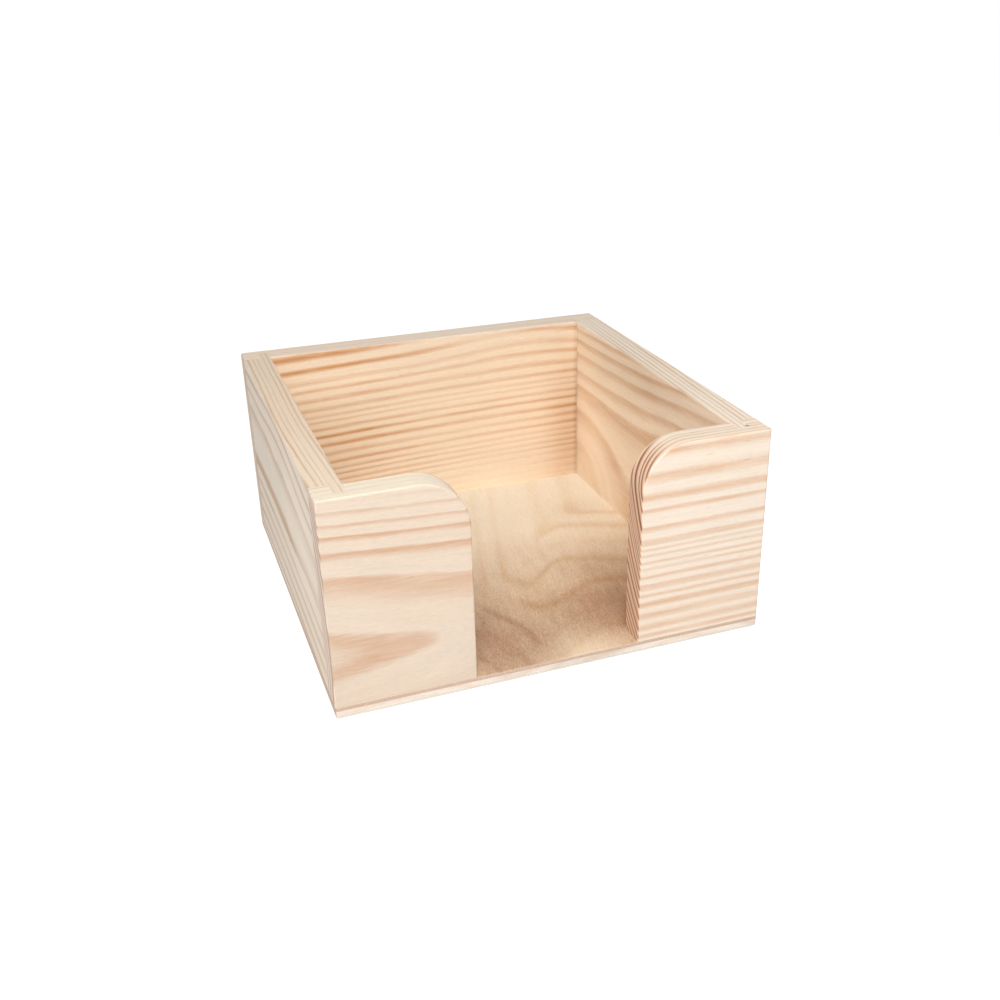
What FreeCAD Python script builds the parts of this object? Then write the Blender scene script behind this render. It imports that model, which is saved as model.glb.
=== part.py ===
"""Desk box for loose memo sheets: five pine boards around a plywood bottom.

The side walls stand between the back wall and the two front panels and lock into them with a
tongue at each end. The front is open in the middle, so that fingers can reach the sheets. The
plywood bottom covers the whole footprint and is pinned to the boards from below.

Frame: X to the right, Y to the back, Z up, origin at the centre of the underside.
"""

import FreeCAD, Part
import os

# ---- Driving dimensions, in millimetres -------------------------------------------------------

box_width = 110.0          # over the side walls
box_depth = 110.0          # over the front panels and the back wall
box_height = 55.0          # from the desk to the top edges
board_thickness = 7.5      # planed pine

finger_gap = 42.0          # clear opening between the two front panels
gap_corner_radius = 12.0   # rounding of each panel's top inner corner

tongue_thickness = 3.0     # tongue on a side wall's end, flush with its inner face
tongue_length = 4.5        # how far it reaches into the back wall or front panel

face_ply_thickness = 0.8   # birch veneer that forms the floor of the box
core_ply_thickness = 1.6   # cross-laid core veneer
back_ply_thickness = 0.6   # birch veneer on the underside

edge_easing = 0.5          # radius sanded on every exposed edge after glue-up

brad_length = 15.0         # flat T-headed brads of an air nailer
brad_width = 1.25          # wide side of the wire, along the board
brad_thickness = 1.0       # narrow side of the wire, across the board
brad_head_width = 2.0
brad_head_height = 0.5
brad_point_length = 2.0
brad_point_width = 0.25    # blunt chisel edge
side_brad_spacing = 60.0   # between the two brads of a side wall
back_brad_spacing = 66.0   # between the two brads of the back wall

# ---- Places that follow from them -------------------------------------------------------------

half_width = box_width / 2
half_depth = box_depth / 2
half_gap = finger_gap / 2
pocket_half_width = half_width - board_thickness
pocket_half_depth = half_depth - board_thickness
core_bottom = back_ply_thickness
face_bottom = core_bottom + core_ply_thickness
floor_top = face_bottom + face_ply_thickness
tongue_end = pocket_half_depth + tongue_length
tongue_outer_face = pocket_half_width + tongue_thickness

LEFT, RIGHT = -1, 1
FRONT, BACK = -1, 1
TOLERANCE = 1e-4


def block(x_range, y_range, z_range):
    """A rectangular solid; each range is given as two limits in any order."""
    lows = [min(limits) for limits in (x_range, y_range, z_range)]
    spans = [abs(limits[1] - limits[0]) for limits in (x_range, y_range, z_range)]
    return Part.makeBox(*spans, FreeCAD.Vector(*lows))


# ---- The glued-up box, with its edges eased ---------------------------------------------------


def front_outline(side):
    """Outline of one front panel in the XZ plane, with its rounded top inner corner."""
    corner_centre_x = half_gap + gap_corner_radius
    corner_centre_z = box_height - gap_corner_radius
    arc_middle = gap_corner_radius * 0.5 ** 0.5

    def at(x, z):
        return FreeCAD.Vector(side * x, FRONT * half_depth, z)

    gap_foot = at(half_gap, 0)
    arc_foot = at(half_gap, corner_centre_z)
    arc_crown = at(corner_centre_x - arc_middle, corner_centre_z + arc_middle)
    arc_top = at(corner_centre_x, box_height)
    outer_top = at(half_width, box_height)
    outer_foot = at(half_width, 0)
    return Part.Wire([
        Part.makeLine(gap_foot, arc_foot),
        Part.Arc(arc_foot, arc_crown, arc_top).toShape(),
        Part.makeLine(arc_top, outer_top),
        Part.makeLine(outer_top, outer_foot),
        Part.makeLine(outer_foot, gap_foot),
    ])


def panel_blank(side):
    """One front panel's outline at the board's thickness, from the desk to the top edge."""
    return Part.Face(front_outline(side)).extrude(FreeCAD.Vector(0, board_thickness, 0))


def is_exposed(edge):
    """False for the inside corners of the box, which sandpaper can't round."""
    middle = edge.valueAt((edge.FirstParameter + edge.LastParameter) / 2)
    on_floor = abs(middle.z - floor_top) < TOLERANCE
    on_front_lip = abs(middle.y - FRONT * half_depth) < TOLERANCE
    in_pocket_corner = (
        abs(abs(middle.x) - pocket_half_width) < TOLERANCE
        and abs(abs(middle.y) - pocket_half_depth) < TOLERANCE
    )
    return not in_pocket_corner and (on_front_lip or not on_floor)


def sanded_box():
    """The whole box as one body with every exposed edge eased, used to trim each piece."""
    frame = block((-half_width, half_width), (-pocket_half_depth, half_depth), (0, box_height))
    body = frame.fuse([panel_blank(LEFT), panel_blank(RIGHT)])
    pocket = block(
        (-pocket_half_width, pocket_half_width),
        (-pocket_half_depth, pocket_half_depth),
        (0, box_height),
    )
    floor = block((-half_width, half_width), (-half_depth, half_depth), (0, floor_top))
    body = body.cut(pocket).fuse(floor).removeSplitter()
    body = body.Solids[0]
    return body.makeFillet(edge_easing, [edge for edge in body.Edges if is_exposed(edge)])


# ---- Boards -----------------------------------------------------------------------------------


def groove(side, end):
    """Groove for a side wall's tongue, in the inner face of the back wall or a front panel."""
    return block(
        (side * pocket_half_width, side * tongue_outer_face),
        (end * pocket_half_depth, end * tongue_end),
        (floor_top, box_height),
    )


def side_wall(side):
    """A side wall: its outer part butts between front and back, its tongues reach into them."""
    wall = block(
        (side * pocket_half_width, side * half_width),
        (-pocket_half_depth, pocket_half_depth),
        (floor_top, box_height),
    )
    return wall.fuse([groove(side, FRONT), groove(side, BACK)]).removeSplitter()


def back_wall():
    """The back wall spans the full width and holds the rear tongues."""
    board = block(
        (-half_width, half_width), (pocket_half_depth, half_depth), (floor_top, box_height)
    )
    return board.cut([groove(LEFT, BACK), groove(RIGHT, BACK)])


def front_panel(side):
    """A front panel stands on the plywood beside the finger opening."""
    below_board = block(
        (-half_width, half_width), (-half_depth, -pocket_half_depth), (0, floor_top)
    )
    return panel_blank(side).cut([below_board, groove(side, FRONT)])


# ---- Plywood bottom ---------------------------------------------------------------------------


def ply(bottom, thickness):
    """One veneer of the bottom, over the whole footprint."""
    return block((-half_width, half_width), (-half_depth, half_depth), (bottom, bottom + thickness))


# ---- Brads ------------------------------------------------------------------------------------


def brad(x, y, runs_along_x):
    """A flat brad, point up, its head flush with the underside and its wide side along the board."""
    point_foot = brad_length - brad_point_length
    half_profile = [
        (brad_head_width / 2, 0),
        (brad_head_width / 2, brad_head_height),
        (brad_width / 2, brad_head_height),
        (brad_width / 2, point_foot),
        (brad_point_width / 2, brad_length),
    ]
    mirrored_profile = [(-across, height) for across, height in reversed(half_profile)]
    outline = [
        FreeCAD.Vector(across, -brad_thickness / 2, height)
        for across, height in half_profile + mirrored_profile + half_profile[:1]
    ]
    nail = Part.Face(Part.makePolygon(outline)).extrude(FreeCAD.Vector(0, brad_thickness, 0))
    if not runs_along_x:
        nail.rotate(FreeCAD.Vector(0, 0, 0), FreeCAD.Vector(0, 0, 1), 90)
    nail.translate(FreeCAD.Vector(x, y, 0))
    return nail


def all_brads():
    """Brads along the middle of each board's thickness, clear of the grooves."""
    board_middle_x = half_width - board_thickness / 2
    board_middle_y = half_depth - board_thickness / 2
    panel_middle_x = (half_gap + half_width) / 2
    brads = []
    for side in (LEFT, RIGHT):
        brads.append(brad(side * board_middle_x, -side_brad_spacing / 2, False))
        brads.append(brad(side * board_middle_x, side_brad_spacing / 2, False))
        brads.append(brad(side * back_brad_spacing / 2, board_middle_y, True))
        brads.append(brad(side * panel_middle_x, -board_middle_y, True))
    return brads


# ---- Assembly and export ----------------------------------------------------------------------


def build():
    """Every piece of the box by its node's name."""
    blanks = {
        "left_wall": side_wall(LEFT),
        "right_wall": side_wall(RIGHT),
        "back_wall": back_wall(),
        "front_left_panel": front_panel(LEFT),
        "front_right_panel": front_panel(RIGHT),
        "bottom_face_ply": ply(face_bottom, face_ply_thickness),
        "bottom_core_ply": ply(core_bottom, core_ply_thickness),
        "bottom_back_ply": ply(0, back_ply_thickness),
    }
    brads = all_brads()
    outer_form = sanded_box()
    pieces = {name: blank.common(outer_form).cut(brads) for name, blank in blanks.items()}
    pieces["bottom_brads"] = Part.makeCompound(brads)
    return pieces


os.makedirs("parts", exist_ok=True)
for node_name, shape in build().items():
    box = shape.BoundBox
    print(
        f"{node_name}: {len(shape.Solids)} solid(s), valid {shape.isValid()},"
        f" {shape.Volume:.1f} mm3,"
        f" x {box.XMin:.2f}..{box.XMax:.2f} y {box.YMin:.2f}..{box.YMax:.2f}"
        f" z {box.ZMin:.2f}..{box.ZMax:.2f}"
    )
    shape.exportStep(f"parts/{node_name}.step")
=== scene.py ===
"""Desk box for loose memo sheets: raw sanded pine boards on a birch plywood bottom."""
import math
import bpy
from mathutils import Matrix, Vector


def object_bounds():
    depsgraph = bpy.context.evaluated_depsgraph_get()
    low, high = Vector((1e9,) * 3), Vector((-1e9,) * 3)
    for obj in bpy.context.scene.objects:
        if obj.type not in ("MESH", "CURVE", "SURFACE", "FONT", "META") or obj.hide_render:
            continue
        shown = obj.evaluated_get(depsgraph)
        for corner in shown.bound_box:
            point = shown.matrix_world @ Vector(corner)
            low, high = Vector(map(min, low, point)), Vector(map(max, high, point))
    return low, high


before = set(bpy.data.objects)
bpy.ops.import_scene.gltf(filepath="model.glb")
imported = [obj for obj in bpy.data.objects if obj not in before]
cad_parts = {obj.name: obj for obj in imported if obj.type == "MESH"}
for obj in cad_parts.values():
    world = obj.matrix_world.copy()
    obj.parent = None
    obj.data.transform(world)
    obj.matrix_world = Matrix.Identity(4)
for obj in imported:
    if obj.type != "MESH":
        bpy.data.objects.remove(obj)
cad_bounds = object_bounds()
MM = 0.001                      # the wood is described in mm, and the scene is in metres

# ---- Left side wall -----------------------------------------------------------------------------
# A planed pine board, 7.5 mm thick, standing on edge between the front panel and the back wall.
# Each end is cut to a 3 mm tongue that is glued into its neighbour, and the outside is sanded
# flush after glue-up. The growth rings run the length of the board, front to back.


def new_group(name, inputs, outputs):
    """An empty shader group, its sockets, and the two nodes that they come in and go out by."""
    tree = bpy.data.node_groups.new(name, "ShaderNodeTree")
    for socket, (kind, value) in inputs.items():
        made = tree.interface.new_socket(socket, in_out="INPUT", socket_type="NodeSocket" + kind)
        made.default_value = value
    for socket, kind in outputs.items():
        tree.interface.new_socket(socket, in_out="OUTPUT", socket_type="NodeSocket" + kind)
    return tree, tree.nodes.new("NodeGroupInput").outputs, tree.nodes.new("NodeGroupOutput")


def feed(tree, node, inputs):
    """Each input of a node joined to a socket or given a value."""
    for key, value in inputs.items():
        if isinstance(value, bpy.types.NodeSocket):
            tree.links.new(value, node.inputs[key])
        else:
            node.inputs[key].default_value = value


def put(tree, kind, inputs, **settings):
    """One node with its settings made and its inputs fed."""
    node = tree.nodes.new("ShaderNode" + kind)
    for name, value in settings.items():
        setattr(node, name, value)
    feed(tree, node, inputs)
    return node


def use_group(tree, group, inputs):
    """A shared group placed in another tree with its own values."""
    return put(tree, "Group", inputs, node_tree=group).outputs


def maths(tree, operation, *values, clamp=False):
    """The result of one sum on numbers or sockets."""
    node = put(tree, "Math", dict(enumerate(values)), operation=operation, use_clamp=clamp)
    return node.outputs[0]


def product(tree, first, *factors, clamp=False):
    """Numbers multiplied one after the other; only the result is held from 0 to 1."""
    *inner, last = factors
    for factor in inner:
        first = maths(tree, "MULTIPLY", first, factor)
    return maths(tree, "MULTIPLY", first, last, clamp=clamp)


def weighed(tree, base, *parts):
    """A base value and the parts that are added to it, each with its own weight."""
    for value, weight in parts:
        base = maths(tree, "MULTIPLY_ADD", value, weight, base)
    return base


def bell(tree, *distances):
    """1 where every distance is 0, falling softly to 0 as they grow past 1."""
    squares = weighed(tree, 0.0, *((distance, distance) for distance in distances))
    return maths(tree, "EXPONENT", maths(tree, "MULTIPLY", squares, -1.0))


def ramp(tree, value, low, high, to_low=0.0, to_high=1.0, kind="SMOOTHSTEP"):
    """A value carried smoothly from one range to another and held at both ends."""
    node = put(tree, "MapRange", {"Value": value, "From Min": low, "From Max": high,
                                  "To Min": to_low, "To Max": to_high}, interpolation_type=kind)
    return node.outputs[0]


def split(tree, vector):
    """The X, Y and Z of a place or a direction."""
    return put(tree, "SeparateXYZ", {0: vector}).outputs


def times(tree, vector, factors):
    """A place or a colour multiplied part by part."""
    return put(tree, "VectorMath", {0: vector, 1: factors}, operation="MULTIPLY").outputs[0]


def toned(tree, colour, tone):
    """A colour made lighter or darker as a whole."""
    return put(tree, "VectorMath", {0: colour, "Scale": tone}, operation="SCALE").outputs[0]


def blend_colours(tree, share, first, second):
    """Two colours mixed by a share from 0 to 1."""
    first_colour, second_colour, mixed_colour = 6, 7, 2
    node = put(tree, "Mix", {0: share, first_colour: first, second_colour: second},
               data_type="RGBA")
    return node.outputs[mixed_colour]


def stretched(tree, place, stretch, scale, detail=2.0, roughness=0.5):
    """Noise from 0 to 1 on a place in mm that is first drawn out along the grain."""
    noise = put(tree, "TexNoise", {"Vector": times(tree, place, stretch), "Scale": scale,
                                   "Detail": detail, "Roughness": roughness})
    return noise.outputs["Fac"]


def centred(tree, noise):
    """Noise about 0."""
    return maths(tree, "SUBTRACT", noise, 0.5)


def about_one(tree, noise, depth):
    """A factor that swings about 1 with a noise, over a span of so much."""
    return maths(tree, "MULTIPLY_ADD", noise, depth, 1 - depth / 2)


def end_grain(tree, normal, grain, along_fibres, across_fibres):
    """1 on faces that cut across the fibres, 0 on those that lie along them."""
    facing = put(tree, "VectorMath", {0: normal, 1: grain}, operation="DOT_PRODUCT")
    return ramp(tree, maths(tree, "ABSOLUTE", facing.outputs["Value"]), along_fibres,
                across_fibres)


def grown_trunk():
    """Distance from a bent and tapering pith. Place is in mm from the pith, X up the tree."""
    tree, given, out = new_group(
        "trunk radius",
        {"Place": ("Vector", (0, 0, 0)), "Side Lean": ("Float", 0), "Side Bow": ("Float", 0),
         "Rise": ("Float", 0), "Rise Bow": ("Float", 0), "Waver": ("Float", 0.4)},
        {"Radius": "Float"})
    axes = split(tree, given["Place"])

    def off_pith(across, lean, bow):
        slope = maths(tree, "MULTIPLY_ADD", axes["X"], given[bow], given[lean])
        return maths(tree, "SUBTRACT", across, maths(tree, "MULTIPLY", axes["X"], slope))

    side = off_pith(axes["Y"], "Side Lean", "Side Bow")
    height = off_pith(axes["Z"], "Rise", "Rise Bow")
    straight = maths(tree, "SQRT", weighed(tree, 0.0, (side, side), (height, height)))
    waver = centred(tree, stretched(tree, given["Place"], (0.4, 1, 1), 0.11, detail=3))
    tree.links.new(weighed(tree, straight, (waver, given["Waver"])), out.inputs["Radius"])
    return tree


def soft_patch():
    """A rounded patch that fades out along the board and up it, to swell rings or stain wood."""
    tree, given, out = new_group(
        "soft patch",
        {"Place": ("Vector", (0, 0, 0)), "Along": ("Float", 0), "Up": ("Float", 0),
         "Length": ("Float", 10), "Breadth": ("Float", 10), "Amount": ("Float", 1)},
        {"Value": "Float"})
    axes = split(tree, given["Place"])
    distances = [
        maths(tree, "DIVIDE", maths(tree, "SUBTRACT", axes[axis], given[middle]), given[size])
        for axis, middle, size in (("X", "Along", "Length"), ("Z", "Up", "Breadth"))]
    patch = maths(tree, "MULTIPLY", bell(tree, *distances), given["Amount"])
    tree.links.new(patch, out.inputs["Value"])
    return tree


def growth_line():
    """The line that ends each year's growth: soft on its inner side, firmer on its outer side."""
    tree, given, out = new_group(
        "growth line",
        {"Ring": ("Float", 0), "Breadth": ("Float", 0.25), "Edge": ("Float", 0.14),
         "Softness": ("Float", 0.6)},
        {"Line": "Float"})
    within = maths(tree, "FRACT", given["Ring"])
    middle = maths(tree, "SUBTRACT", 1.0, given["Breadth"])
    spread = maths(tree, "MULTIPLY", given["Breadth"], given["Softness"])
    grown = ramp(tree, within, maths(tree, "SUBTRACT", middle, spread),
                 maths(tree, "ADD", middle, spread))
    # The outer side fades from one edge before the year's end to half an edge after it.
    ending = [weighed(tree, 1.0, (given["Edge"], edges)) for edges in (-1.0, 0.5)]
    before = maths(tree, "MULTIPLY", grown, ramp(tree, within, *ending, to_low=1, to_high=0))
    after = ramp(tree, maths(tree, "ADD", within, 1.0), *ending, to_low=1, to_high=0)
    tree.links.new(maths(tree, "MAXIMUM", before, after), out.inputs["Line"])
    return tree


TRUNK, PATCH, GROWTH = grown_trunk(), soft_patch(), growth_line()

# What varies in pine, and how far each is drawn out along the grain and how fine it is.
RAGGED_RINGS = dict(stretch=(0.12, 1, 1), scale=0.9, detail=2)
DRIFTING_RINGS = dict(stretch=(0.25, 1, 1), scale=0.16, detail=2)
BROKEN_RINGS = dict(stretch=(0.05, 1, 1), scale=1.6, detail=3, roughness=0.65)
PINE_STREAKS = dict(stretch=(0.04, 1, 1), scale=2.2, detail=3, roughness=0.6)
PINE_FIBRES = dict(stretch=(0.1, 1, 1), scale=5.0, detail=3, roughness=0.7)
PINE_CLOUDS = dict(stretch=(0.3, 1, 1), scale=0.06, detail=2)
CANAL_STRETCH = (0.11, 1, 1)
BAND_STRETCH = 0.02
STREAK_DEPTH, BAND_DEPTH, FIBRE_DEPTH = 0.12, 0.14, 0.32
RAGGED_BY = 0.1                              # of a ring
RESIN_TINT = (0.91, 0.77, 0.65)
WARM_TINT = (1.0, 0.93, 0.86)
PINE_ROUGHNESS = 0.62


def pine_figure():
    """Rings, fibres, resin canals and end grain of a sanded pine board."""
    tree, given, out = new_group(
        "pine figure",
        {"Place": ("Vector", (0, 0, 0)), "Radius": ("Float", 0), "Ring": ("Float", 0),
         "Darkness": ("Float", 1), "Late Share": ("Float", 0.25), "Edge": ("Float", 0.14),
         "Softness": ("Float", 0.6), "Tan And Painted Shade": ("Float", 0), "Painted Light Tone": ("Float", 1),
         "Grain": ("Vector", (1, 0, 0)), "Top Painted Light": ("Color", (1, 1, 1, 1)),
         "Top Fading": ("Float", 0), "Early Wood": ("Color", (0.88, 0.76, 0.61, 1)),
         "Late Wood": ("Color", (0.76, 0.5, 0.34, 1)),
         "Early End": ("Color", (0.62, 0.4, 0.28, 1)),
         "Late End": ("Color", (0.3, 0.13, 0.08, 1))},
        {"Color": "Color", "Roughness": "Float", "Height": "Float"})
    place = given["Place"]
    normal = put(tree, "TexCoord", {}).outputs["Normal"]
    upward = ramp(tree, split(tree, normal)["Z"], 0.3, 0.9)
    # Each ring starts pale, darkens into its late wood and ends on a firmer line.
    ragged = centred(tree, stretched(tree, place, **RAGGED_RINGS))
    ring = weighed(tree, given["Ring"], (ragged, RAGGED_BY))
    side_line = use_group(tree, GROWTH, {"Ring": ring, "Breadth": given["Late Share"],
                                         "Edge": given["Edge"],
                                         "Softness": given["Softness"]})["Line"]
    drift = ramp(tree, stretched(tree, place, **DRIFTING_RINGS), 0.3, 0.7,
                 to_low=0.8, to_high=1.15)
    broken = ramp(tree, stretched(tree, place, **BROKEN_RINGS), 0.3, 0.65,
                  to_low=0.7, to_high=1.12)
    top_share = maths(tree, "SUBTRACT", 1.0, maths(tree, "MULTIPLY", upward, given["Top Fading"]))
    late_wood = product(tree, side_line, given["Darkness"], drift, top_share, broken, clamp=True)
    # The early wood tans towards the end of its year, and the listed grounds add to it, some of
    # them as painted shade.
    season = maths(tree, "FRACT", ring)
    tan_and_painted_shade = weighed(tree, given["Tan And Painted Shade"], (maths(tree, "POWER", season, 2.0), 0.08))
    side_share = maths(tree, "ADD", late_wood, tan_and_painted_shade, clamp=True)
    # End grain shows the same rings as narrow dark lines.
    end_line = use_group(tree, GROWTH, {"Ring": given["Ring"], "Breadth": 0.42,
                                        "Edge": 0.12})["Line"]
    end_share = maths(tree, "MULTIPLY", end_line, maths(tree, "ADD", given["Darkness"], 0.1),
                      clamp=True)
    # Faint bands inside each ring that keep its course.
    drawn = maths(tree, "MULTIPLY", split(tree, place)["X"], BAND_STRETCH)
    course = put(tree, "CombineXYZ", {"X": drawn, "Y": given["Radius"]}).outputs[0]
    band = put(tree, "TexNoise", {"Vector": course, "Scale": 3.2, "Detail": 2.0}).outputs["Fac"]
    # Fibres and fine streaks, drawn out along the grain.
    streak = stretched(tree, place, **PINE_STREAKS)
    fibre = stretched(tree, place, **PINE_FIBRES)
    # Resin canals: short thin brown dashes, most of them near the late wood.
    anywhere, more_in_late_wood = 0.12, 0.5
    canal_rim, canal_core = 0.14, 0.05
    cells = put(tree, "TexVoronoi", {"Vector": times(tree, place, CANAL_STRETCH), "Scale": 0.9,
                                     "Randomness": 1.0}).outputs
    draw = put(tree, "SeparateColor", {0: cells["Color"]}).outputs[0]
    kept = maths(tree, "LESS_THAN", draw,
                 weighed(tree, anywhere, (late_wood, more_in_late_wood)))
    canal = maths(tree, "MULTIPLY", ramp(tree, cells["Distance"], canal_rim, canal_core), kept)

    end = end_grain(tree, normal, given["Grain"], 0.3, 0.85)
    side_colour = blend_colours(tree, side_share, given["Early Wood"], given["Late Wood"])
    end_colour = blend_colours(tree, end_share, given["Early End"], given["Late End"])
    colour = blend_colours(tree, end, side_colour, end_colour)
    colour = blend_colours(tree, canal, colour, times(tree, colour, RESIN_TINT))
    # Painted light and shade: faces that look up get another tone, lighter or darker as the light
    # falls on the tops of each board.
    colour = blend_colours(tree, upward, colour, times(tree, colour, given["Top Painted Light"]))
    tone = product(tree, given["Painted Light Tone"], about_one(tree, streak, STREAK_DEPTH),
                   about_one(tree, band, BAND_DEPTH), about_one(tree, fibre, FIBRE_DEPTH))
    colour = toned(tree, colour, tone)
    warm = ramp(tree, stretched(tree, place, **PINE_CLOUDS), 0.4, 0.75, to_high=0.35)
    colour = blend_colours(tree, warm, colour, times(tree, colour, WARM_TINT))
    # Late wood is harder, so it is smoother and stands a hair proud of the sanded early wood.
    feed(tree, out, {
        "Color": colour,
        "Roughness": weighed(tree, PINE_ROUGHNESS, (late_wood, -0.08), (end, 0.15),
                             (fibre, 0.08)),
        "Height": weighed(tree, 0.0, (late_wood, 0.004), (fibre, 0.03), (streak, 0.03),
                          (canal, -0.03))})
    return tree


FIGURE = pine_figure()
ALONG_X, ALONG_Y = 0.0, math.radians(90)     # which way a board's grain runs


def read_rings(tree, radius, start, rings):
    """Ring number, darkness and late-wood share where a radius falls in a board's rings."""
    last = rings[-1][0]
    where = put(tree, "MapRange", {"Value": radius, "From Min": start, "From Max": last})
    node = put(tree, "RGBCurve", {"Color": where.outputs[0]})
    number, dark, share = [node.mapping.curves[i].points for i in range(3)]

    def add_point(points, reached, level):
        at = (reached - start) / (last - start)
        if at <= 0:
            points[0].location = (0, level)
        elif at >= 1:
            points[-1].location = (1, level)
        else:
            points.new(at, level)

    inner = start
    for count, (outer, darkness, late) in enumerate(rings, 1):
        add_point(number, outer, count / len(rings))
        for points, level in ((dark, darkness), (share, late)):
            add_point(points, (inner + outer) / 2, level)
            add_point(points, outer, level)
            if count == 1:
                add_point(points, start, level)
        inner = outer
    for curve in node.mapping.curves:
        for point in curve.points:
            point.handle_type = "VECTOR"
    node.mapping.update()
    read = split(tree, node.outputs[0])
    return maths(tree, "MULTIPLY", read["X"], float(len(rings))), read["Y"], read["Z"]


def new_material(name):
    """A material, its nodes, and the place on the piece in metres."""
    material = bpy.data.materials.new(name)
    material.use_nodes = True
    tree = material.node_tree
    return material, tree, put(tree, "TexCoord", {}).outputs["Object"]


def in_mm(tree, coordinates, origin=(0, 0, 0), turn=0.0):
    """The same place in mm from an origin, with X turned to run along the grain."""
    return put(tree, "Mapping", {"Vector": coordinates,
                                 "Location": [value * MM for value in origin],
                                 "Rotation": (0, 0, turn), "Scale": (MM,) * 3},
               vector_type="TEXTURE").outputs[0]


def bare_wood(tree, colour, figure):
    """Sanded wood with no finish on it, its fibres as a slight relief."""
    relief = put(tree, "Bump", {"Height": figure["Height"], "Strength": 0.6, "Distance": MM})
    feed(tree, tree.nodes["Principled BSDF"], {
        "Base Color": colour, "Roughness": figure["Roughness"], "Normal": relief.outputs[0],
        "Specular IOR Level": 0.35})


def patches(tree, place, base, listed, least=None):
    """A base value with soft patches added, each held above the least value."""
    for along, up, length, breadth, amount in listed:
        patch = use_group(tree, PATCH, {"Place": place, "Along": along, "Up": up,
                                        "Length": length, "Breadth": breadth,
                                        "Amount": amount})["Value"]
        base = maths(tree, "ADD", base, patch)
        if least is not None:
            base = maths(tree, "MAXIMUM", base, least)
    return base


def pine(name, pith, grain, bend, start, rings, early, late, early_end=(0.78, 0.6, 0.47),
         late_end=(0.5, 0.32, 0.23), swells=(), stains_and_painted_light=(), tans_and_painted_shade=(), painted_shades=(), marks=(),
         waver=0.4, edge=0.14, soft=0.6, top_painted_light=(1, 1, 1), top_fading=0.0):
    """Pine of one board, in mm: where its pith lay, how its grain runs, its rings and colours.

    A ring is (outer radius, darkness, late-wood share), the first one from the start radius.
    Patches are (along, up, length, breadth, amount) from the pith: swells push rings outward,
    stains darken or pale their late wood, grounds tan all the wood, and shades darken one face
    where less light falls or lighten it where the amount is below 0, as painted shade and light;
    a shade's sixth value is how far its face lies to the side of the pith. On the back wall some
    stains and grounds are painted light and shade as well. A mark is a spot with its place,
    radius and colour.
    """
    material, tree, coordinates = new_material(name)
    place = in_mm(tree, coordinates, pith, grain)
    lean, bow, rise, rise_bow = bend
    radius = use_group(tree, TRUNK, {"Place": place, "Side Lean": lean, "Side Bow": bow,
                                     "Rise": rise, "Rise Bow": rise_bow,
                                     "Waver": waver})["Radius"]
    radius = maths(tree, "SUBTRACT", radius, patches(tree, place, 0.0, swells))
    ring, darkness, late_share = read_rings(tree, radius, start, rings)
    # Painted shade and painted light: each listed patch darkens one face where less light falls on
    # it, or lightens it where the amount is below 0.
    tone = 1.0
    side = split(tree, place)["Y"]
    for *patch, face in painted_shades:
        off_face = maths(tree, "ABSOLUTE", maths(tree, "SUBTRACT", side, face))
        on_face = ramp(tree, off_face, 1.5, 0.5)
        painted_shade = maths(tree, "MULTIPLY", patches(tree, place, 0.0, [patch]), on_face)
        tone = maths(tree, "SUBTRACT", tone, painted_shade)
    figure = use_group(tree, FIGURE, {
        "Place": place, "Radius": radius, "Ring": ring,
        "Darkness": patches(tree, place, darkness, stains_and_painted_light, least=0.0), "Late Share": late_share,
        "Edge": edge, "Softness": soft, "Tan And Painted Shade": patches(tree, place, 0.0, tans_and_painted_shade),
        "Painted Light Tone": tone, "Grain": (math.cos(grain), math.sin(grain), 0),
        "Top Painted Light": (*top_painted_light, 1), "Top Fading": top_fading,
        "Early Wood": (*early, 1), "Late Wood": (*late, 1),
        "Early End": (*early_end, 1), "Late End": (*late_end, 1)})
    colour = figure["Color"]
    for spot, size, tint in marks:
        away = put(tree, "VectorMath", {0: coordinates, 1: [value * MM for value in spot]},
                   operation="DISTANCE").outputs["Value"]
        inside = ramp(tree, away, size * MM, size * MM / 3)
        colour = blend_colours(tree, inside, colour, (*tint, 1))
    bare_wood(tree, colour, figure)
    return material


def dress(node, material):
    """The finish goes into the slots of a piece that keeps its own shape."""
    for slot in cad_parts[node].material_slots:
        slot.material = material


dress("left_wall", pine(
    "left wall pine", pith=(4, 0, 33), grain=ALONG_Y, bend=(0.003, 0, 0.025, -0.0005), start=50.4,
    rings=((51.8, 0.6, 0.35), (53.1, 0.6, 0.35), (54.4, 0.7, 0.35), (55.7, 0.6, 0.35),
           (57.0, 0.6, 0.35), (58.1, 0.5, 0.3), (59.65, 0.3, 0.25), (60.7, 0.55, 0.25),
           (62.1, 0.7, 0.3), (63.9, 0.7, 0.3), (65.9, 0.7, 0.3), (68.0, 0.7, 0.3)),
    early=(0.87, 0.76, 0.635), late=(0.585, 0.395, 0.255),
    swells=((-8.8, 19.7, 28, 9, 0.75),),
    stains_and_painted_light=((24, -8.4, 34, 3.6, 3.6), (16, 17, 40, 3.5, 0.5), (0, 8.5, 70, 3, 0.4)),
    # Painted light and shade on the outer face: lighter towards the front, darker towards the back
    # and low down.
    painted_shades=((42, -8, 30, 50, 0.06, 59), (-32, 0, 22, 16, -0.09, 59),
            (0, -24, 40, 12, 0.03, 59)),
    top_painted_light=(0.91, 0.85, 0.785)))

# ---- Right side wall ----------------------------------------------------------------------------
# The matching board on the right, cut nearer the bark: a broad tongue of late wood falls down its
# inner face. Its own tongues are glued into the back wall and the right front panel.

# A dab of resin on top of the joint with the front panel, shared by the two pieces.
CORNER_RESIN = ((50.3, -51.3, 55), 0.75, (0.4, 0.2, 0.13))

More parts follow.
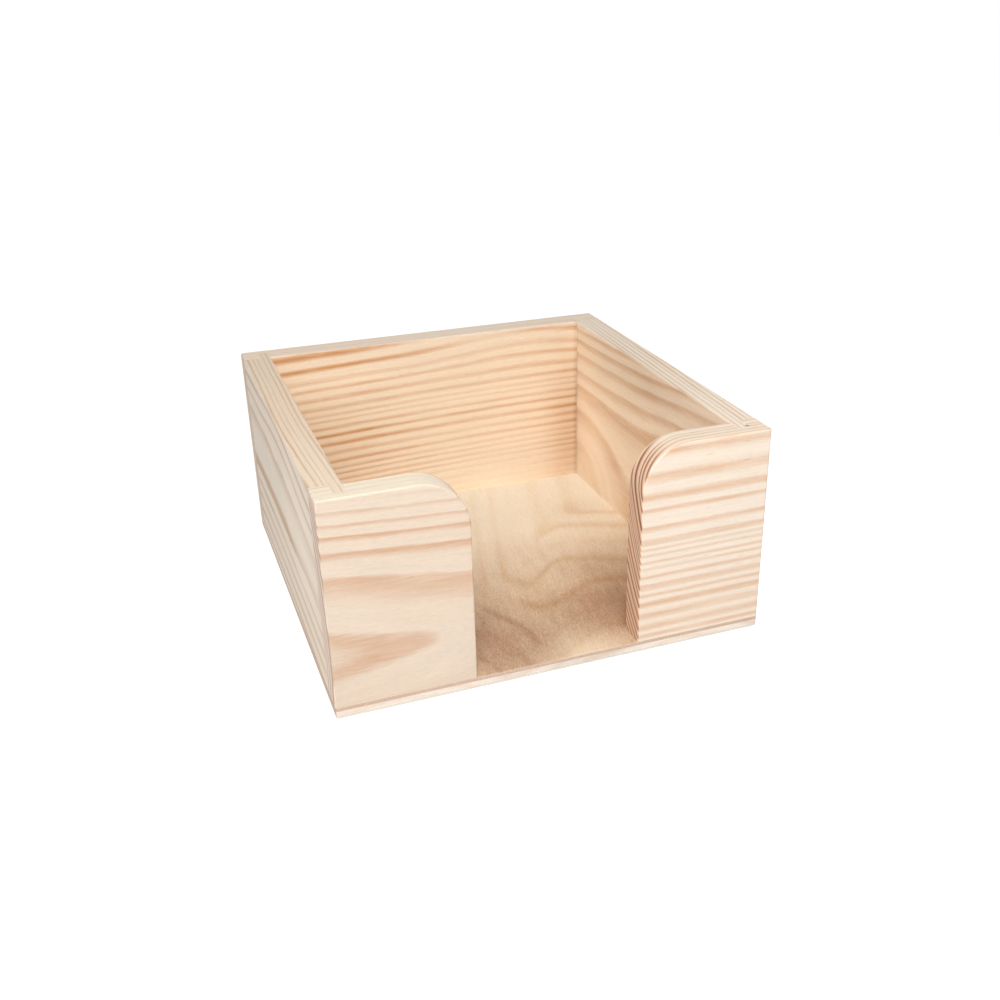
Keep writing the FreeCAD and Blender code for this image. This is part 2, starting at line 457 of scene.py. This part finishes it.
dress("right_wall", pine(
    "right wall pine", pith=(190.5, 16, 3), grain=ALONG_Y, bend=(-0.003, -0.0002, -0.067, 0.001),
    start=134.9,
    rings=((136.3, 0.5, 0.35), (137.6, 0.5, 0.35), (138.9, 0.5, 0.35), (140.2, 0.5, 0.35),
           (141.6, 0.5, 0.35), (142.9, 0.5, 0.35), (144.3, 0.5, 0.35), (145.6, 0.7, 0.45),
           (147.1, 0.75, 0.55), (148.2, 0.6, 0.45), (149.7, 0.65, 0.4), (151.0, 0.65, 0.4),
           (152.1, 0.65, 0.4), (153.5, 0.65, 0.4)),
    early=(0.95, 0.785, 0.61), late=(0.7, 0.44, 0.25),
    swells=((-14.2, 7.2, 32, 22, -2.33),),
    stains_and_painted_light=((8, 6, 16, 8, -0.35), (-2, 17, 10, 5, 0.25), (8, 15, 20, 10, -0.25),
            (20, 25, 11, 13, -0.24), (34, 52.5, 16, 2, -0.5)),
    tans_and_painted_shade=((-22, 46, 16, 8, 0.12),),
    # Painted shade along the top of the inner face and in its back corner, and painted light lower
    # down towards the back.
    painted_shades=((-15, 47, 30, 7, 0.12, 143), (31.5, 20, 0.9, 60, 0.15, 143),
            (19, 20, 12, 16, -0.05, 143)),
    marks=(CORNER_RESIN,), top_painted_light=(0.885, 0.935, 0.995)))

# ---- Back wall ----------------------------------------------------------------------------------
# A pine board across the whole back, grooved near each end for the tongues of the side walls.
# Close rings run level along it, and its ends show end grain.

dress("back_wall", pine(
    "back wall pine", pith=(0, 171.5, 150), grain=ALONG_X, bend=(-0.018, -0.0001, 0.046, -0.0002),
    start=149.5,
    rings=((151.6, 0.2, 0.4), (153.7, 0.2, 0.4), (156.9, 0.8, 0.4), (159.3, 1.0, 0.34),
           (161.6, 0.5, 0.35), (163.2, 0.7, 0.4), (165.3, 0.7, 0.4), (167.2, 0.7, 0.4),
           (168.6, 0.5, 0.4), (169.7, 0.5, 0.4), (171.4, 0.7, 0.4), (173.1, 1.0, 0.4),
           (175.2, 0.95, 0.4), (177.2, 0.7, 0.4), (179.1, 0.85, 0.4), (180.7, 0.7, 0.4),
           (182.0, 0.7, 0.4), (183.5, 0.7, 0.4), (184.8, 0.7, 0.4), (186.4, 0.6, 0.4),
           (188.4, 0.55, 0.35), (190.3, 0.5, 0.35), (191.9, 0.4, 0.3), (194.0, 0.4, 0.3)),
    early=(0.925, 0.76, 0.575), late=(0.66, 0.338, 0.15), early_end=(0.76, 0.63, 0.51),
    late_end=(0.64, 0.48, 0.37),
    swells=((30, -97.2, 26, 8.9, -1.76),),
    # Painted light: the two stains low down right of the middle pale the late wood there, where
    # light bounces up from the floor.
    stains_and_painted_light=((-34, -98, 24, 2.5, 0.8), (16, -96, 22, 2.5, -0.7), (34, -138, 30, 22, -0.3),
            (6, -120, 26, 36, -0.25), (22, -142, 20, 10, -0.2)),
    # Painted shade: the two grounds tan the wood low in the corners, by the right wall and towards
    # the left wall.
    tans_and_painted_shade=((46, -136, 8, 24, 0.36), (-28, -130, 14, 12, 0.16)),
    # Painted shade and light: a dark line in the inner right corner, shade by both corners and low
    # on the right, and light low in the middle and high on the left.
    painted_shades=((47.5, -120, 1.0, 60, 0.18, -124), (18, -146, 14, 6, -0.1, -124),
            (45, -126, 9, 26, 0.15, -124), (28, -141, 20, 8, 0.08, -124),
            (-30, -104, 16, 6, -0.06, -124), (-44, -132, 16, 22, 0.12, -124)),
    edge=0.3, top_painted_light=(0.9, 0.91, 0.97), top_fading=0.75))

# ---- Front left panel ---------------------------------------------------------------------------
# A short pine panel that closes the front left corner. Its free top corner is rounded so that
# fingers can reach the sheets. Wide rings and a flame of late wood show on its face.

dress("front_left_panel", pine(
    "front left panel pine", pith=(-38, -6, 16.5), grain=ALONG_X,
    bend=(0.04, 0.0007, 0.007, 0.0013), start=37.0,
    rings=((39.4, 0.5, 0.25), (41.6, 0.5, 0.25), (43.8, 0.5, 0.25), (46.2, 0.5, 0.25),
           (49.0, 0.85, 0.12), (52.5, 0.72, 0.42), (55.0, 0.9, 0.28), (56.9, 0.95, 0.27),
           (58.4, 0.75, 0.27), (60.1, 0.55, 0.27), (61.7, 0.35, 0.25), (63.4, 0.35, 0.25)),
    early=(0.735, 0.61, 0.49), late=(0.625, 0.395, 0.26), early_end=(0.87, 0.7, 0.575),
    late_end=(0.5, 0.34, 0.26),
    swells=((6.9, 5.1, 11.3, 13.3, 0.43), (4.5, 12, 16.2, 7.8, -0.91)),
    stains_and_painted_light=((9, 13.5, 10, 6, -0.12), (15, -13, 14, 5, -0.6), (0, 38.5, 60, 2, -0.35)),
    tans_and_painted_shade=((10, 26, 30, 6, 0.08), (-8, -9, 12, 5, 0.08)),
    edge=0.07, top_painted_light=(1.11, 1.17, 1.15)))

# ---- Front right panel --------------------------------------------------------------------------
# The panel on the right of the finger opening, cut from another board with close, level rings.
# The rings run out dark on the end grain of its rounded corner.

dress("front_right_panel", pine(
    "front right panel pine", pith=(38, -116.4, 65.7), grain=ALONG_X, bend=(0, 0, 0, 0),
    start=61.2,
    rings=((61.9, 0.8, 0.3), (62.85, 0.85, 0.42), (64.55, 0.8, 0.46), (66.2, 0.8, 0.46),
           (67.35, 0.85, 0.42), (69.5, 0.95, 0.28), (71.3, 0.7, 0.45), (72.1, 0.45, 0.5),
           (72.95, 0.5, 0.5), (74.05, 0.65, 0.4), (75.0, 0.5, 0.5), (76.4, 0.65, 0.45),
           (78.3, 0.65, 0.58), (79.55, 0.65, 0.5), (81.35, 0.8, 0.6), (83.6, 0.6, 0.6),
           (85.8, 0.65, 0.58), (87.3, 0.65, 0.58), (88.9, 0.6, 0.5), (90.4, 0.6, 0.5),
           (92.0, 0.6, 0.4), (93.6, 0.6, 0.4)),
    early=(0.845, 0.735, 0.615), late=(0.715, 0.465, 0.305), early_end=(0.84, 0.58, 0.41),
    late_end=(0.27, 0.1, 0.055),
    tans_and_painted_shade=((0, -46, 60, 20, 0.05),),
    marks=(CORNER_RESIN,), waver=0.2, edge=0.28, soft=0.35, top_painted_light=(0.98, 0.965, 0.935)))

# ---- Plywood bottom -----------------------------------------------------------------------------
# Three-ply birch, 3 mm thick, glued and pinned under the boards. The face veneer is the floor of
# the box, the core lies across it, and the plain back veneer is the underside.

# What varies in birch veneer.
JAGGED_LINES = dict(stretch=(0.12, 1, 1), scale=1.4, detail=2)
BIRCH_SILK = dict(stretch=(0.1, 1, 1), scale=1.6, detail=3, roughness=0.6)
BIRCH_FIBRES = dict(stretch=(0.22, 1, 1), scale=3.6, detail=3, roughness=0.8)
BIRCH_PORES = dict(stretch=(0.1, 1, 1), scale=2.6, detail=2)
BIRCH_CLOUDS = dict(stretch=(0.4, 1, 1), scale=0.11, detail=3, roughness=0.55)
BIRCH_STREAKS = dict(stretch=(0.14, 1, 1), scale=0.6, detail=3, roughness=0.6)
SILK_DEPTH = 0.12
FIBRE_TINT = (0.8, 1.0, 1.3)                 # fibres differ more in blue than in red
BIRCH_ROUGHNESS = 0.5
GLUE_COLOUR = (0.36, 0.24, 0.17, 1)
UPPER_GLUE, LOWER_GLUE = 2.2, 0.6            # heights of the two glue lines, in mm
FACE_GRAIN, CORE_GRAIN = math.radians(80), math.radians(-15)


def birch_figure():
    """Peeled birch veneer: growth lines, silky fibres, fine pores, and its end grain."""
    tree, given, out = new_group(
        "birch figure",
        {"Place": ("Vector", (0, 0, 0)), "Ring": ("Float", 0), "Darkness": ("Float", 0.5),
         "Brown Share": ("Float", 0), "Grain": ("Vector", (1, 0, 0)),
         "Pale": ("Color", (0.88, 0.77, 0.61, 1)), "Line": ("Color", (0.8, 0.62, 0.42, 1)),
         "Brown": ("Color", (0.485, 0.297, 0.186, 1)), "End": ("Color", (0.6, 0.43, 0.33, 1))},
        {"Color": "Color", "Roughness": "Float", "Height": "Float"})
    place = given["Place"]
    jagged = centred(tree, stretched(tree, place, **JAGGED_LINES))
    line = use_group(tree, GROWTH, {"Ring": weighed(tree, given["Ring"], (jagged, 0.2)),
                                    "Breadth": 0.34, "Edge": 0.34})["Line"]
    line = maths(tree, "MULTIPLY", line, given["Darkness"], clamp=True)
    colour = blend_colours(tree, given["Brown Share"], given["Pale"], given["Brown"])
    colour = blend_colours(tree, maths(tree, "MULTIPLY", line, 0.7), colour,
                           times(tree, colour, given["Line"]))
    end = end_grain(tree, put(tree, "TexCoord", {}).outputs["Normal"], given["Grain"], 0.4, 0.9)
    colour = blend_colours(tree, end, colour, given["End"])
    # Fibres stand out more where the wood is brown.
    fibre = stretched(tree, place, **BIRCH_FIBRES)
    depth = weighed(tree, 0.3, (given["Brown Share"], 1.5))
    swings = put(tree, "VectorMath",
                 {0: maths(tree, "MULTIPLY", centred(tree, fibre), depth), 1: FIBRE_TINT,
                  2: (1, 1, 1)}, operation="MULTIPLY_ADD").outputs[0]
    pore = ramp(tree, stretched(tree, place, **BIRCH_PORES), 0.6, 0.75)
    silk = about_one(tree, stretched(tree, place, **BIRCH_SILK), SILK_DEPTH)
    tone = maths(tree, "MULTIPLY", weighed(tree, 1.0, (pore, -0.1)), silk)
    feed(tree, out, {
        "Color": toned(tree, times(tree, colour, swings), tone),
        "Roughness": weighed(tree, BIRCH_ROUGHNESS, (fibre, 0.15)),
        "Height": weighed(tree, 0.0, (fibre, 0.03), (pore, -0.02))})
    return tree


BIRCH = birch_figure()


def birch(name, grain, figure, glue_lines=(), **colours):
    """Birch veneer with its grain turned by an angle, and dark glue lines at heights in mm."""
    material, tree, coordinates = new_material(name)
    place = in_mm(tree, coordinates, turn=grain)
    ring, darkness, brown, pale = figure(tree, place, coordinates)
    look = use_group(tree, BIRCH, {"Place": place, "Ring": ring, "Darkness": darkness,
                                   "Brown Share": brown, "Pale": pale,
                                   "Grain": (math.cos(grain), math.sin(grain), 0), **colours})
    colour = look["Color"]
    height = split(tree, place)["Z"]
    for level in glue_lines:
        off_line = maths(tree, "ABSOLUTE", maths(tree, "SUBTRACT", height, level))
        glue = ramp(tree, off_line, 0.14, 0.04, to_high=0.4)
        colour = blend_colours(tree, glue, colour, GLUE_COLOUR)
    bare_wood(tree, colour, look)
    return material


def floor_contours(tree, place, coordinates):
    """Growth lines that come forward along the fibres, turn and run off to the right."""
    run = math.radians(75)                   # they follow an angle of their own
    hollow_middle, hollow_depth = 12.0, 12.4
    left_width, right_width, wider_at_lip = 14.0, 6.0, 4.5
    axes = split(tree, in_mm(tree, coordinates, turn=run))
    along, across = axes["X"], maths(tree, "MULTIPLY", axes["Y"], -1.0)
    # Each line dips forward in a hollow that is steeper on its right side than on its left.
    at_lip = ramp(tree, weighed(tree, along, (across, -0.7)), -22.0, -32.0)
    middle = weighed(tree, hollow_middle, (along, 0.12), (at_lip, wider_at_lip))
    beside = maths(tree, "SUBTRACT", across, middle)
    to_right = maths(tree, "DIVIDE", maths(tree, "MAXIMUM", beside, 0.0),
                     weighed(tree, right_width, (at_lip, wider_at_lip)))
    to_left = maths(tree, "DIVIDE", maths(tree, "MINIMUM", beside, 0.0), left_width)
    hollow = bell(tree, maths(tree, "ADD", to_right, to_left))
    dip = weighed(tree, hollow_depth, (along, -0.14))
    beyond = maths(tree, "MAXIMUM", maths(tree, "SUBTRACT", across, 18.0), 0.0)
    forward = weighed(tree, along, (hollow, dip), (beyond, 0.15))
    # At the left they run along the fibres, as the flank of the same figure.
    flank = maths(tree, "SMOOTH_MIN", weighed(tree, -8.0, (across, 1.95)),
                  weighed(tree, 7.0, (across, 0.83)), 4.0)
    waver = centred(tree, stretched(tree, place, (0.5, 1, 1), 0.09, detail=3))
    level = weighed(tree, maths(tree, "SMOOTH_MIN", forward, flank, 5.0), (waver, 2.5))
    ring, darkness, _ = read_rings(tree, level, -60.0, (
        (-45, 0.3, 0), (-34, 0.3, 0), (-21, 0.3, 0), (-9, 0.9, 0), (2, 0.85, 0), (13, 0.2, 0),
        (24, 0.9, 0), (32, 1.1, 0), (43, 0.3, 0), (56, 0.3, 0)))
    # They are faint at the back, along the fibres, and at the left of the lip.
    behind = ramp(tree, along, 10.0, 34.0, to_low=1.0, to_high=0.65)
    turned = ramp(tree, maths(tree, "SUBTRACT", flank, forward), -12.0, -3.0, to_low=0.45)
    left_of_lip = maths(tree, "MULTIPLY", ramp(tree, along, -9.0, -18.0),
                        ramp(tree, across, 12.0, 4.0, to_high=0.8))
    darkness = product(tree, darkness, behind, turned,
                       maths(tree, "SUBTRACT", 1.0, left_of_lip))
    return ring, darkness, waver


def floor_figure(tree, place, coordinates):
    """The best veneer faces up: flowing growth lines, with brown painted shade towards the front,
    behind the front panels.
    """
    ring, darkness, waver = floor_contours(tree, place, coordinates)
    axes = split(tree, in_mm(tree, coordinates))
    aside, depth = axes["X"], axes["Y"]
    flat = put(tree, "CombineXYZ", {"X": aside, "Z": depth}).outputs[0]
    # The brown is painted shade: it comes up towards the front, behind the front panels, in patches
    # that are deepest by their feet, and thins out again on the lit lip.
    brown = ramp(tree, depth, 14.0, -28.0, to_high=0.72, kind="LINEAR")
    brown = patches(tree, flat, brown, (
        (21, -38, 9, 14, 0.42), (-10, -43, 11, 12, 0.22), (10, -55, 12, 8, -0.55),
        (8, -20, 9, 8, -0.08), (23, -14, 11, 6, 0.16), (31, 4, 10, 7, -0.08),
        (38, 22, 10, 9, 0.24), (40, 38, 9, 8, 0.06)))
    # A few slanting streaks, one every 8 mm, in the left one of the two brown patches.
    turn_per_mm, first_turn, sharpness = 0.776, 13.66, 5.0
    slanting = weighed(tree, 0.0, (aside, 0.93), (depth, 0.37), (waver, 8.0))
    comb = maths(tree, "COSINE", weighed(tree, first_turn, (slanting, turn_per_mm)))
    comb = maths(tree, "POWER", weighed(tree, 0.5, (comb, 0.5)), sharpness)
    comb = maths(tree, "MULTIPLY", comb, patches(tree, flat, 0.0, ((-10, -38, 10, 14, 1.0),)))
    # It is uneven throughout, and least so in the pale wood at the back.
    uneven = weighed(tree, 0.0, (centred(tree, stretched(tree, place, **BIRCH_STREAKS)), 0.35),
                     (centred(tree, stretched(tree, place, **BIRCH_CLOUDS)), 0.5))
    uneven = maths(tree, "MULTIPLY", uneven, ramp(tree, depth, 30.0, -10.0, to_low=0.15))
    brown = maths(tree, "ADD", weighed(tree, brown, (comb, 0.45)), uneven, clamp=True)
    # Painted light: the pale ground turns warmer and more orange towards the front, where the floor
    # gets only light bounced off the wood.
    pale = blend_colours(tree, ramp(tree, depth, 40.0, -24.0, kind="LINEAR"),
                         (0.845, 0.775, 0.64, 1), (0.92, 0.742, 0.525, 1))
    return ring, darkness, brown, pale


def plain_figure(tree, place, coordinates):
    """Straight-run veneer with a few broad lines along the fibres."""
    lines_across = 12.0
    hill = stretched(tree, place, (0.06, 1, 1), 0.06, roughness=0.4)
    cloud = stretched(tree, place, (0.2, 1, 1), 0.07)
    brown = ramp(tree, cloud, 0.45, 0.8, to_high=0.4)
    return maths(tree, "MULTIPLY", hill, lines_across), 0.5, brown, (0.86, 0.75, 0.6, 1)


dress("bottom_face_ply", birch("birch face veneer", FACE_GRAIN, floor_figure,
                               glue_lines=(UPPER_GLUE,)))
dress("bottom_core_ply", birch("birch core veneer", CORE_GRAIN, plain_figure,
                               glue_lines=(UPPER_GLUE, LOWER_GLUE), Pale=(0.85, 0.75, 0.655, 1)))
dress("bottom_back_ply", birch("birch back veneer", FACE_GRAIN, plain_figure,
                               End=(0.8, 0.75, 0.68, 1)))

# ---- Brads --------------------------------------------------------------------------------------
# Eight flat steel brads from an air nailer, shot up through the plywood into the boards, with
# their heads flush with the underside.


def brad_steel():
    """Bare steel wire with a mottled skin, drawn out along the brad."""
    material, tree, coordinates = new_material("brad steel")
    mottle = stretched(tree, in_mm(tree, coordinates), (1, 1, 0.3), 3.0)
    feed(tree, tree.nodes["Principled BSDF"], {
        "Base Color": blend_colours(tree, mottle, (0.2, 0.2, 0.205, 1), (0.4, 0.4, 0.395, 1)),
        "Roughness": weighed(tree, 0.3, (mottle, 0.25)), "Metallic": 1.0})
    return material


dress("bottom_brads", brad_steel())

# ---- Table and light ----------------------------------------------------------------------------
# The box stands on a white table in a white room, with one large soft lamp in front and weaker
# ones round it. The table is open just inside the box's footprint, so the underside gets light.

scene = bpy.context.scene
low, high = cad_bounds
table_reach = 3.0
opening_reach = high.x - 1.0 * MM            # 1 mm inside the box's edge
corners = ((-1, -1), (1, -1), (1, 1), (-1, 1))
table_mesh = bpy.data.meshes.new("table")
table_mesh.from_pydata(
    [(x * reach, y * reach, 0) for reach in (table_reach, opening_reach) for x, y in corners],
    [], [(i, (i + 1) % 4, (i + 1) % 4 + 4, i + 4) for i in range(4)])
table = bpy.data.objects.new("table", table_mesh)
scene.collection.objects.link(table)


def seen_as_white(tree):
    """1 for the camera and for what gloss or glass shows of the surroundings, else 0."""
    rays = put(tree, "LightPath", {}).outputs
    seen = maths(tree, "MAXIMUM", rays["Is Camera Ray"], rays["Is Glossy Ray"])
    return maths(tree, "MAXIMUM", seen, rays["Is Transmission Ray"])


def white_table():
    """Matt white that the camera sees as plain white, with a faint shadow under the box."""
    material = bpy.data.materials.new("white table")
    material.use_nodes = True
    tree = material.node_tree
    tree.nodes.clear()
    matt = put(tree, "BsdfDiffuse", {"Color": (0.8, 0.8, 0.8, 1)}).outputs[0]
    thin = put(tree, "BsdfDiffuse", {"Color": (0.2, 0.2, 0.2, 1)}).outputs[0]
    glow = put(tree, "Emission", {"Color": (1, 1, 1, 1), "Strength": 0.95}).outputs[0]
    shown = put(tree, "AddShader", {0: thin, 1: glow}).outputs[0]
    surface = put(tree, "MixShader", {0: seen_as_white(tree), 1: matt, 2: shown}).outputs[0]
    put(tree, "OutputMaterial", {"Surface": surface})
    return material


table_mesh.materials.append(white_table())

world = bpy.data.worlds.new("white room")
scene.world = world
world.use_nodes = True
sky = world.node_tree
room_light, white_to_the_eye = 0.3, 1.0
feed(sky, sky.nodes["Background"], {
    "Color": (1, 1, 1, 1),
    "Strength": ramp(sky, seen_as_white(sky), 0, 1, room_light, white_to_the_eye,
                     kind="LINEAR")})

lamp_aim = (0, low.y, 30 * MM)               # on the front, a little above the middle


def soft_lamp(name, swing, tilt, distance, size, power):
    """A square soft lamp aimed at the box, swung to the right of its front and raised by a tilt."""
    data = bpy.data.lights.new(name, "AREA")
    data.shape, data.size, data.energy = "SQUARE", size, power
    lamp = bpy.data.objects.new(name, data)
    scene.collection.objects.link(lamp)
    swing, tilt = math.radians(swing), math.radians(tilt)
    lamp.location = (lamp_aim[0] + distance * math.sin(swing) * math.cos(tilt),
                     lamp_aim[1] - distance * math.cos(swing) * math.cos(tilt),
                     lamp_aim[2] + distance * math.sin(tilt))
    lamp.rotation_euler = (math.pi / 2 - tilt, 0, swing)


soft_lamp("key lamp", swing=-14, tilt=48, distance=0.4, size=0.23, power=1.5)
soft_lamp("side lamp", swing=-85, tilt=35, distance=1.0, size=0.6, power=2.2)
soft_lamp("back lamp", swing=140, tilt=5, distance=1.0, size=0.2, power=2.2)
soft_lamp("under lamp", swing=0, tilt=-90, distance=0.5, size=0.3, power=1.2)

# The camera looks down on the box from its front left.
camera_data = bpy.data.cameras.new("camera")
camera_data.lens = 40.84
camera_data.sensor_width = 36.0
camera_data.shift_x, camera_data.shift_y = -0.0432, 0.0086
camera_data.clip_start = 0.01
camera = bpy.data.objects.new("camera", camera_data)
scene.collection.objects.link(camera)
camera.location = (-0.08751, -0.27142, 0.1546)
camera.rotation_euler = [math.radians(angle) for angle in (64.573, 0.45, -21.322)]
scene.camera = camera

scene.view_settings.view_transform = "Standard"
